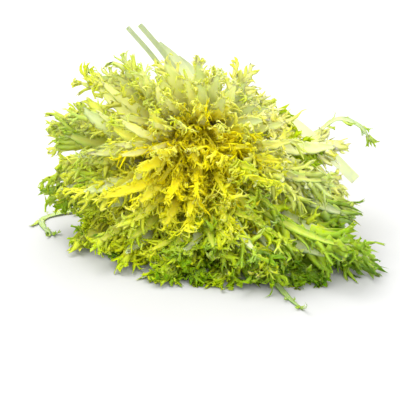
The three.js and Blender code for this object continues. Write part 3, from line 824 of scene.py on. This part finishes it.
RIM = 0.85  # how much less pale the blade's edge is than its rib
BARE_RIM = 0.8
YOUNG_TIP_PALE_AND_HIGHLIGHT = 0.3
TIP_PALE_AND_HIGHLIGHT_GROWTH = 0.7
# From the youngest leaf to the oldest.
CUP = (0.3, 0.1)
PAIRS = (14, 12)
CURL = (1.3, 0.9)
HANG = (0.45, 0.25)
# How much leaves differ from one another.
OWN_TINT = 0.35
OWN_PALE = 0.15
OWN_BROAD = 0.25
OWN_REACH = 0.25
# Some older leaves are pale stalks.
STALK_BELOW = -0.45
STALK_AGE = 0.45
STALK_LOOKS = {"pale": 0.75, "rib_tint": 0.6, "pairs": 7, "first": 0.5, "broad": 1.3, "rim": 0.4}
# Some leaves are pale bands with few lobes, from the first of these hours and for as many as the second says.
BANDS = (9.1, 3.4)
BAND_ABOVE = -0.1
BAND_AGE = 0.12
BAND_LOOKS = {"pale": 0.72, "rib_tint": 0.3, "pairs": 4, "first": 0.5, "reach": 0.7, "web": 1.8,
              "broad": 1.25, "tip_pale_and_highlight": 0.3, "lobe_pale": 0.3, "lobe_tint": 0.38, "gold": 0.2, "rim": 0.3}
# Between these hours some of the pale filling leaves are green and forked. Other bare ones only have a tip.
FORKED = (1.8, 2.8)
FORKED_ABOVE = 0.3
FORKED_AGE = 0.4
FORKED_LOOKS = {"lobe_tint": 0.62, "lobe_pale": 0.1, "tip_pale_and_highlight": 0, "pairs": 9, "first": 0.45, "web": 2,
                "reach": 0.8}
BAREST = 0.8
BARE_BEFORE = 5
BARE_LOOKS = {"first": 0.88, "pairs": 1, "web": 3.6}
LOOSE_SHADE = (0.9, 0.8)
LOOSE_PALE = (0.35, 0.65)
LOOSE_LOOKS = {"web": 1.0, "broad": 1, "gold": 0, "pairs": 5, "reach": 1, "lobe_width": 0.9,
               "lobe_pale": 0.3, "tip_pale_and_highlight": 0}
STRAP_TINT = (1.6, 0.75)
STRAP_WIDEST = 6
FILL_STEPS = 30


def dressed(leaf, fill=False):
    """The leaf's looks: how green, how pale, how golden (partly painted glow), how broad and how densely
    lobed.
    """
    age, azimuth = min(1, leaf["age"]), leaf["azimuth"]
    green, pale, bare, gold = (by_hour(table, azimuth) for table in (GREEN, PALE, BARE, GOLD_AND_GLOW))
    inner = mix(by_hour(INNER, azimuth), 1, smooth(min(1, max(0, (age - INNER_AGE) / INNER_FADE))))
    pale, bare = pale * inner, bare * inner
    own_tint, own_pale, own_broad, own_reach = [mix(-1, 1, leaf["draw"]()) for _ in range(4)]
    leaf["wild"] = (1 - age) * (1 - bare)
    leaf["first"] += by_hour(FIRST, azimuth) * inner - WILD_FIRST * leaf["wild"]
    young = max(PALE_TINT * pale, by_hour(YOUNG_GREEN, azimuth) * smooth(min(1, age / YOUNG_AGE)))
    tint = max(0.0, mix(LEAST_TINT + young, green, age**TINT_GROWTH) * (1 + OWN_TINT * own_tint))
    leaf["rib_tint"] = max(tint * RIB_TINT, RIB_TINT * pale**2 * age)
    rib_pale = mix(gain(YOUNG_RIB_PALE, pale**PALE_POWER), mix(*OLD_RIB_PALE, pale), age**PALE_GROWTH)
    leaf["pale"] = rib_pale * (1 - OWN_PALE * (1 + own_pale))
    leaf["lobe_pale"] = mix(gain(YOUNG_LOBE_PALE, pale**2), gain(OLD_LOBE_PALE, pale**PALE_POWER), age)
    leaf["lobe_tint"] = tint + LOBE_EXTRA_TINT * pale**2 * mix(*LOBE_EXTRA_AGE, age)
    leaf["gold"] = mix(gain(YOUNG_GOLD_AND_GLOW, gold), gold, age)
    broad = mix(1 - YOUNG_NARROWER * (1 - bare), 1 + OLD_BROADER * pale, age**BROAD_GROWTH)
    leaf["broad"] = broad * (1 + OWN_BROAD * own_broad) * (FILL_BROAD if fill else 1)
    leaf["web"] = mix(by_hour(YOUNG_WEB, azimuth), by_hour(WEB, azimuth), age**WEB_GROWTH)
    leaf["cup"] = mix(*CUP, age)
    leaf["pairs"] = int(round(mix(*PAIRS, age) * (1 - BARE_PAIRS * bare)))
    reach = mix(YOUNG_REACH * (1 - BARE_REACH * bare), by_hour(REACH, azimuth), age)
    leaf["reach"] = reach * (1 + OWN_REACH * own_reach)
    old_width = OLD_LOBE_WIDTH * by_hour(WIDTH, azimuth)
    leaf["lobe_width"] = mix(YOUNG_LOBE_WIDTH, old_width, age**LOBE_WIDTH_GROWTH)
    leaf["curl"] = mix(*CURL, age) + by_hour(LOOPS, azimuth) * age
    leaf["rim"] = RIM * (1 - BARE_RIM * bare)
    shapes = mix(HEART_SHAPES, OUTER_SHAPES, age)
    leaf["shapes"] = shapes / shapes.sum()
    leaf["steps"] = FILL_STEPS if fill else RIB_STEPS
    leaf["hang"] = mix(*HANG, age)
    leaf["tip_pale_and_highlight"] = mix(YOUNG_TIP_PALE_AND_HIGHLIGHT, by_hour(TIP_PALE_AND_HIGHLIGHT, azimuth), smooth(age) ** TIP_PALE_AND_HIGHLIGHT_GROWTH)
    hour = hour_of(azimuth)
    if own_pale < STALK_BELOW and age > STALK_AGE:
        leaf.update(STALK_LOOKS)
    if (hour - BANDS[0]) % HOURS < BANDS[1] and own_reach > BAND_ABOVE and age > BAND_AGE:
        leaf.update(BAND_LOOKS)
    if fill:
        leaf["length"] *= by_hour(FILL_LENGTH if age > MIDDLE_AGE else MIDDLE_LENGTH, azimuth)
        if FORKED[0] < hour < FORKED[1] and own_tint > FORKED_ABOVE and age > FORKED_AGE:
            leaf.update(FORKED_LOOKS)
        elif bare > BAREST and hour < BARE_BEFORE:
            leaf.update(BARE_LOOKS)
    if leaf["ring"] == "loose":
        shade = mix(*LOOSE_SHADE, pale)
        leaf.update(LOOSE_LOOKS, pale=mix(*LOOSE_PALE, pale), rib_tint=shade, lobe_tint=shade)
    if "strap" in leaf:
        leaf.update(rib_tint=mix(*STRAP_TINT, leaf["half"] / STRAP_WIDEST), pale=leaf["strap"], gold=0, web=0)
    return leaf


# ---- Materials ----
MIX_INPUTS = (0, 6, 7)  # the factor and both colours of a mix
MIX_RESULT = 2


def node_tree(name):
    material = bpy.data.materials.new(name)
    material.use_nodes = True
    tree = material.node_tree
    tree.nodes.clear()
    return material, tree


def feed(tree, made, inputs):
    for key, value in inputs:
        if isinstance(value, bpy.types.NodeSocket):
            tree.links.new(value, made.inputs[key])
        else:
            made.inputs[key].default_value = value


def node(tree, kind, inputs=None, **settings):
    made = tree.nodes.new(kind)
    for key, value in settings.items():
        setattr(made, key, value)
    feed(tree, made, (inputs or {}).items())
    return made


def ramp(tree, fac, stops):
    made = node(tree, "ShaderNodeValToRGB", {"Fac": fac})
    elements = made.color_ramp.elements
    while len(elements) < len(stops):
        elements.new(0.5)
    for element, (position, colour) in zip(elements, stops):
        element.position = position
        element.color = (*colour, 1)
    return made.outputs["Color"]


def maths(tree, operation, a, b, clamp=False):
    made = node(tree, "ShaderNodeMath", operation=operation, use_clamp=clamp)
    feed(tree, made, enumerate((a, b)))
    return made.outputs[0]


def blend(tree, fac, a, b, kind="MIX"):
    made = node(tree, "ShaderNodeMix", data_type="RGBA", blend_type=kind)
    feed(tree, made, zip(MIX_INPUTS, (fac, a, b)))
    return made.outputs[MIX_RESULT]


def place_in(tree):
    return node(tree, "ShaderNodeTexCoord").outputs["Object"]


def noise(tree, place, scale, detail):
    made = node(tree, "ShaderNodeTexNoise", {"Vector": place, "Scale": scale, "Detail": detail})
    return made.outputs["Fac"]


def bumped(tree, height, strength, distance):
    made = node(tree, "ShaderNodeBump", {"Height": height, "Strength": strength, "Distance": distance})
    return made.outputs["Normal"]


def shaded(tree, inputs):
    shader = node(tree, "ShaderNodeBsdfPrincipled", inputs)
    node(tree, "ShaderNodeOutputMaterial", {"Surface": shader.outputs[0]})


def around_zero(tree, value, share):
    return maths(tree, "MULTIPLY", maths(tree, "SUBTRACT", value, 0.5), share)


def varied_by(tree, value, least, more):
    return maths(tree, "ADD", least, maths(tree, "MULTIPLY", value, more))


BLADE_COLOURS = [
    (0.0, (0.92, 0.77, 0.001)),
    (0.22, (0.70, 0.71, 0.002)),
    (0.45, (0.47, 0.60, 0.002)),
    (0.70, (0.26, 0.43, 0.002)),
    (1.0, (0.09, 0.22, 0.001)),
]
RIB_COLOURS = [
    (0.0, (0.95, 0.87, 0.06)),
    (0.12, (0.95, 0.92, 0.34)),
    (0.24, (0.95, 0.94, 0.64)),
    (0.55, (0.93, 0.94, 0.70)),
    (1.0, (0.56, 0.60, 0.43)),
]
# Gold at the leaves' feet: partly their own yellow, partly painted glow of light shining through the heart;
# the orange last stop is painted glow at the crown.
GOLD_AND_GLOW_COLOURS = [(0.0, (0.93, 0.76, 0.001)), (0.7, (0.93, 0.70, 0.001)), (0.92, (0.96, 0.52, 0.001))]
CUT_COLOURS = [(0.3, (0.78, 0.76, 0.52)), (0.6, (0.86, 0.85, 0.66)), (0.8, (0.60, 0.52, 0.30))]
STEM_DEPTH = 10  # per metre, so that the ramp below spans the stem
STEM_FRONT_GOLD_AND_GLOW = [(0.72, (1, 1, 1)), (0.84, (0, 0, 0))]
LEAF_DRIFT = 0.26
LEAF_SPECK = 0.22
GOLD_AND_GLOW_BASE = 0.5
LEAF_ROUGHNESS = (0.34, 0.25)
LEAF_NOISES = ((55, 3), (420, 4))  # scale per metre and detail, as the other noises
LEAF_BUMP = (0.25, 0.0003)
LEAF_FLESH = {"Subsurface Weight": 0.8, "Subsurface Radius": (0.9, 1.0, 0.3), "Subsurface Scale": 0.0008,
              "Specular IOR Level": 0.05}
STEM_ROUGHNESS = (0.45, 0.3)
STEM_NOISES = ((90, 4), (600, 3))
STEM_BUMP = (0.4, 0.0008)
# The floor's colour by distance from the head: darker near it, a painted contact shadow, and paler far off,
# painted light that hides the horizon.
FLOOR_PAINTED_SHADOW_AND_LIGHT = [
    (0.06, (0.53, 0.53, 0.525)),
    (0.1, (0.60, 0.60, 0.60)),
    (0.2, (0.62, 0.62, 0.62)),
    (1, (0.88, 0.88, 0.88)),
]
FLOOR_MOTTLE = [(0.3, (0.97, 0.97, 0.97)), (0.7, (1, 1, 1))]
FLOOR_DISTANCE = 0.5  # per metre
FLOOR_NOISE = (8, 3)
FLOOR_GLOSS = {"Roughness": 0.7, "Specular IOR Level": 0.1}


def leaf_material():
    material, tree = node_tree("leaf")
    place = place_in(tree)
    looks = node(tree, "ShaderNodeAttribute", attribute_name="leaf").outputs["Vector"]
    tint, pale, gold = node(tree, "ShaderNodeSeparateXYZ", {"Vector": looks}).outputs
    broad, fine = (noise(tree, place, *kind) for kind in LEAF_NOISES)
    drift = around_zero(tree, broad, LEAF_DRIFT)
    speck = around_zero(tree, fine, LEAF_SPECK)
    varied = maths(tree, "ADD", maths(tree, "ADD", tint, drift), speck, clamp=True)
    blade, rib = ramp(tree, varied, BLADE_COLOURS), ramp(tree, varied, RIB_COLOURS)
    paleness = maths(tree, "ADD", pale, speck, clamp=True)
    # Painted glow, mixed with the feet's own gold
    golden = maths(tree, "MULTIPLY", gold, maths(tree, "ADD", GOLD_AND_GLOW_BASE, broad), clamp=True)
    foot = ramp(tree, golden, GOLD_AND_GLOW_COLOURS)
    colour = blend(tree, golden, blend(tree, paleness, blade, rib), foot)
    roughness = varied_by(tree, fine, *LEAF_ROUGHNESS)
    normal = bumped(tree, fine, *LEAF_BUMP)
    shaded(tree, {"Base Color": colour, "Roughness": roughness, "Normal": normal, **LEAF_FLESH})
    return material


def stem_material():
    """Cream at the cut end, with browner patches, and golden in front between the youngest leaves: partly
    their own yellow, partly painted light over the shaded crown.
    """
    material, tree = node_tree("stem")
    place = place_in(tree)
    broad, fine = (noise(tree, place, *kind) for kind in STEM_NOISES)
    cut = ramp(tree, broad, CUT_COLOURS)
    depth = node(tree, "ShaderNodeSeparateXYZ", {"Vector": place}).outputs["Y"]
    # Golden in front: partly the heart's own yellow, partly painted light over the crown's shade
    young = ramp(tree, maths(tree, "MULTIPLY", depth, STEM_DEPTH), STEM_FRONT_GOLD_AND_GLOW)
    colour = blend(tree, young, cut, (*GOLD_AND_GLOW_COLOURS[0][1], 1))
    roughness = varied_by(tree, fine, *STEM_ROUGHNESS)
    normal = bumped(tree, fine, *STEM_BUMP)
    shaded(tree, {"Base Color": colour, "Roughness": roughness, "Normal": normal})
    return material


def floor_material():
    """Darker near the head, a painted contact shadow, and paler with distance, painted light so that it has
    no horizon.
    """
    material, tree = node_tree("floor")
    place = place_in(tree)
    mottle = noise(tree, place, *FLOOR_NOISE)
    away = node(tree, "ShaderNodeVectorMath", {0: place}, operation="LENGTH").outputs["Value"]
    # Painted shadow near the head and painted light far from it
    painted_shadow_and_light = ramp(tree, maths(tree, "MULTIPLY", away, FLOOR_DISTANCE, clamp=True), FLOOR_PAINTED_SHADOW_AND_LIGHT)
    colour = blend(tree, 1, painted_shadow_and_light, ramp(tree, mottle, FLOOR_MOTTLE), "MULTIPLY")
    shaded(tree, {"Base Color": colour, **FLOOR_GLOSS})
    return material


# ---- The pieces ----
FINE_SEED = 1000
FILL_RULE_SEED = 5000
FILL_LOBE_SEED = 3000
CORE_SEED = 7000
FILL_LEAVES = 150  # the places for filling leaves; some on the pale side stay empty
YOUNGEST_FILL = 5
FILL_AGE_STEP = 0.7
FILL_OPENING = 50  # degrees, as HEART_OPENING
FILL_SIDES = ["right", "below", "left", "above"]  # the filling leaves' pieces, clockwise from half past one
FIRST_SIDE = 0.125  # where the first side starts, in turns
OPEN_AGE = 0.35  # on the bare side no younger leaf hides the petioles
OPEN_FIRST = 0.3
SPARSE = [1, 0.6, 0, 0, 0, 0.4, 1, 0.4, 0, 0, 0, 1]  # where only half of the older filling leaves grow
SPARSE_ABOVE = 0.5
STRAY = {"azimuth": 0.24, "opening": 0.17, "swirl": 1.0, "length": 0.1, "droop": 1.6}  # radians, and shares
STRAY_BY_AGE = (1.6, 0.5)
DROOP_FADE = 2
CORE_LEAVES = 96  # small leaves that close the heart over the stem
CORE_STEP = 8
CORE_SEAT = 62
CORE_OPENING = (4, 86)
CORE_LENGTH = (0.4, 0.85)
CORE_DROOP = (0.2, 2.4)
CORE_GATHERED = 0.55  # every other small leaf is this much nearer to the top
CORE_LOOKS = {"gold": 0.9, "pairs": 8, "web": 2, "tip_pale_and_highlight": 0.3, "lobe_pale": 0.05, "hang": 0.3,
              "lobe_tint": 0.05, "first": 0.25}
LEAF = leaf_material()


def placed(piece, stands_for=None):
    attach(piece, "root")
    if stands_for:
        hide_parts(stands_for)


leaves = [leaf_rule(k, RULE_SEED + k) for k in range(LEAF_COUNT)]
leaves += [routed_leaf(shape) for shape in LOOSE_LEAVES]
leaves += [routed_leaf(shape, name=f"trimmed_leaf_{index + 1}", facing=STRAP_FACING)
           for index, shape in enumerate(STRAPS)]

for index, leaf in enumerate(leaves):
    growth = Growth()
    grow_leaf(growth, dressed(leaf), np.random.default_rng(FINE_SEED + index))
    placed(growth.object("fine_" + leaf["name"], LEAF), leaf["name"])

fills = {}


def strayed(leaf):
    """A filling leaf a little out of the spiral's order."""
    stray = [mix(-1, 1, leaf["draw"]()) * mix(*STRAY_BY_AGE, leaf["age"]) for _ in range(4)]
    reach = by_hour(OUTER_LENGTH, leaf["azimuth"])
    leaf["azimuth"] += STRAY["azimuth"] * stray[0]
    leaf["length"] *= mix(1, min(1, by_hour(OUTER_LENGTH, leaf["azimuth"]) / reach), leaf["age"])
    leaf["outward"] = outward_at(leaf["azimuth"])
    leaf["tip_opening"] += STRAY["opening"] * stray[1]
    leaf["swirl"] += STRAY["swirl"] * stray[2]
    leaf["length"] *= 1 + STRAY["length"] * stray[3]
    leaf["droop"] += STRAY["droop"] * max(0, 1 - DROOP_FADE * leaf["age"]) * leaf["draw"]()
    return leaf


def fill_of(leaf):
    """The filling piece that a leaf belongs to: one for each ring and side of the head."""
    side = FILL_SIDES[int((leaf["azimuth"] / (2 * math.pi) - FIRST_SIDE) % 1 * len(FILL_SIDES))]
    return fills.setdefault((leaf["ring"], side), Growth())


for j in range(FILL_LEAVES):
    k = mix(YOUNGEST_FILL, LEAF_COUNT, ((j + 0.5) / FILL_LEAVES) ** FILL_AGE_STEP) - 0.5
    leaf = dressed(strayed(leaf_rule(k, FILL_RULE_SEED + j, FILL_OPENING)), fill=True)
    if leaf["age"] < OPEN_AGE and by_hour(FIRST, leaf["azimuth"]) > OPEN_FIRST:
        continue
    if j % 2 and leaf["age"] > OPEN_AGE and by_hour(SPARSE, leaf["azimuth"]) > SPARSE_ABOVE:
        continue
    grow_leaf(fill_of(leaf), leaf, np.random.default_rng(FILL_LOBE_SEED + j))
for j in range(CORE_LEAVES):
    share = (j + 0.5) / CORE_LEAVES
    leaf = leaf_rule(j / CORE_STEP, CORE_SEED + j, mix(*CORE_OPENING, share))
    leaf["azimuth"] = (math.radians(j * GOLDEN_ANGLE) + math.pi) % (2 * math.pi) - math.pi
    leaf["azimuth"] *= CORE_GATHERED if j % 2 else 1
    leaf["outward"] = outward_at(leaf["azimuth"])
    leaf["seat"] = math.radians(CORE_SEAT) * math.sqrt(share)
    leaf["length"] *= mix(*CORE_LENGTH, leaf["draw"]())
    leaf["droop"] = mix(*CORE_DROOP, leaf["draw"]())
    leaf = dressed(leaf, fill=True)
    leaf.update(CORE_LOOKS)
    grow_leaf(fill_of(leaf), leaf, np.random.default_rng(CORE_SEED + j))
for (ring, side), growth in fills.items():
    placed(growth.object(f"filling_{ring}_leaves_{side}", LEAF))

stem_look = stem_material()
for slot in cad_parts["stem"].material_slots:
    slot.material = stem_look

# ---- The floor, the light and the camera, in metres ----
FLOOR_REACH = 8
LIGHTS = [
    {"name": "key_light", "place": (-0.5, 0.25, 1.25), "power": 15},
    {"name": "fill_light", "place": (0.3, -1.2, 1.0), "power": 8},
]
LIGHT_SIZE = 1.1
LIGHT_TARGET = (0, 0, 0.06)
SKY_STRENGTH = 1.2
ELEVATION = math.radians(24)
DISTANCE = 1.2
LENS = 133
SENSOR = 36
AIM = (0.001, 0.0, 0.042)

corners = [(x * FLOOR_REACH, y * FLOOR_REACH, 0) for x, y in ((-1, -1), (1, -1), (1, 1), (-1, 1))]
floor_mesh = bpy.data.meshes.new("floor")
floor_mesh.from_pydata(corners, [], [(0, 1, 2, 3)])
floor_mesh.materials.append(floor_material())
floor = linked("floor", floor_mesh)


def aimed(thing, target):
    thing.rotation_euler = (Vector(target) - thing.location).to_track_quat("-Z", "Y").to_euler()


def soft_box(name, place, power):
    light = bpy.data.lights.new(name, "AREA")
    light.shape = "DISK"
    light.size, light.energy = LIGHT_SIZE, power
    box = linked(name, light)
    box.location = place
    aimed(box, LIGHT_TARGET)


for light in LIGHTS:
    soft_box(**light)

world = bpy.data.worlds.new("studio")
world.use_nodes = True
sky = world.node_tree.nodes["Background"].inputs
sky["Color"].default_value = (1, 1, 1, 1)
sky["Strength"].default_value = SKY_STRENGTH
bpy.context.scene.world = world
bpy.context.scene.view_settings.view_transform = "Standard"

camera = linked("camera", bpy.data.cameras.new("camera"))
camera.data.lens, camera.data.sensor_width = LENS, SENSOR
camera.location = Vector(AIM) + DISTANCE * Vector((0, -math.cos(ELEVATION), math.sin(ELEVATION)))
aimed(camera, AIM)
bpy.context.scene.camera = camera
